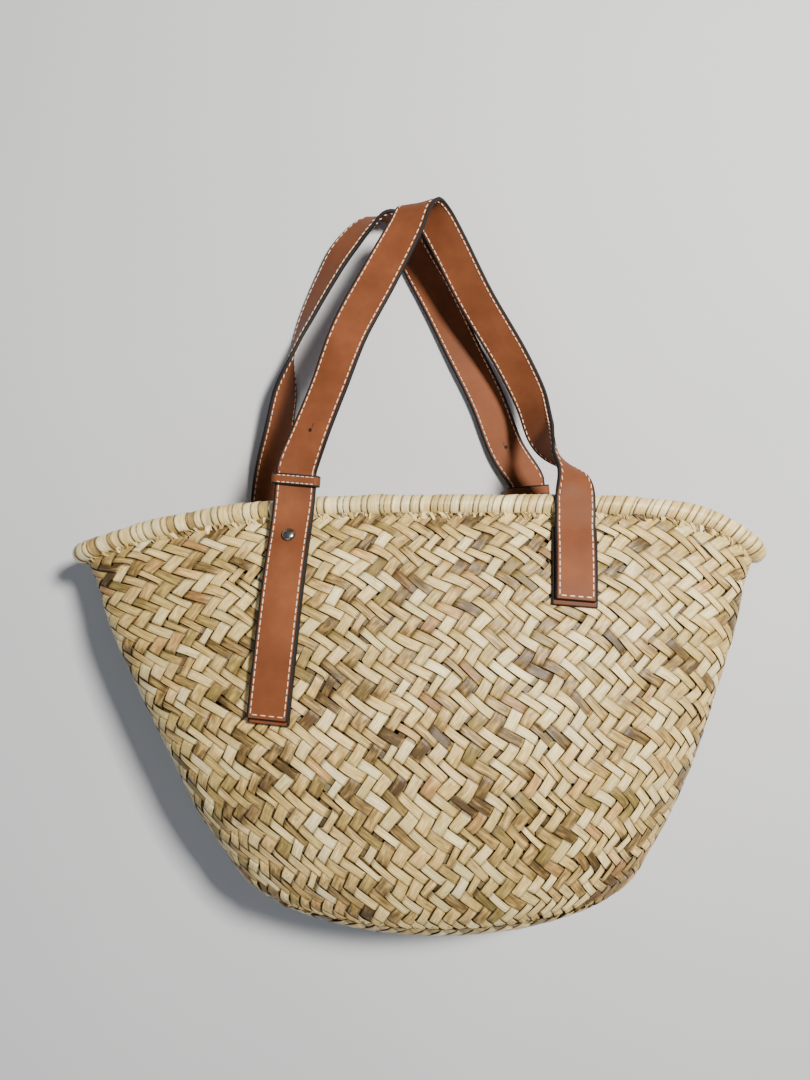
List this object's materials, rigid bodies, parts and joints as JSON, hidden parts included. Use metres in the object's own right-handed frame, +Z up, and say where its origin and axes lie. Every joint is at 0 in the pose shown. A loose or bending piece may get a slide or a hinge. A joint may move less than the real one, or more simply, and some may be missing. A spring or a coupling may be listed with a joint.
{
  "type": "straw basket bag with leather handles",
  "caption": "Woven straw basket bag with a bound rim roll, oval base and leather strap handles with keepers and studs, lying on its back panel.",
  "frame": {"origin": "on the surface the bag lies on, under the middle of its overall box", "axes": "+X across the bag to the right as seen from above, +Y from the base towards the mouth and the handles, +Z up, out of the front panel"},
  "size_m": [0.4602, 0.4856, 0.1108],
  "materials": {
    "woven_straw": "dry twill-woven palm leaf",
    "bound_straw": "smooth wound palm leaf",
    "tan_leather": "satin with painted black edges",
    "dark_leather": "satin",
    "dark_nickel": "dark polished"
  },
  "bodies": {
    "root": {"basket": "woven_straw", "rim_roll": "bound_straw", "front_base_strap": "tan_leather", "front_handle": "tan_leather", "front_keeper": "tan_leather", "front_stud": "dark_nickel", "front_patch": "dark_leather", "back_base_strap": "tan_leather", "back_handle": "tan_leather", "back_keeper": "tan_leather", "back_stud": "dark_nickel", "back_patch": "dark_leather"}
  },
  "joints": []
}
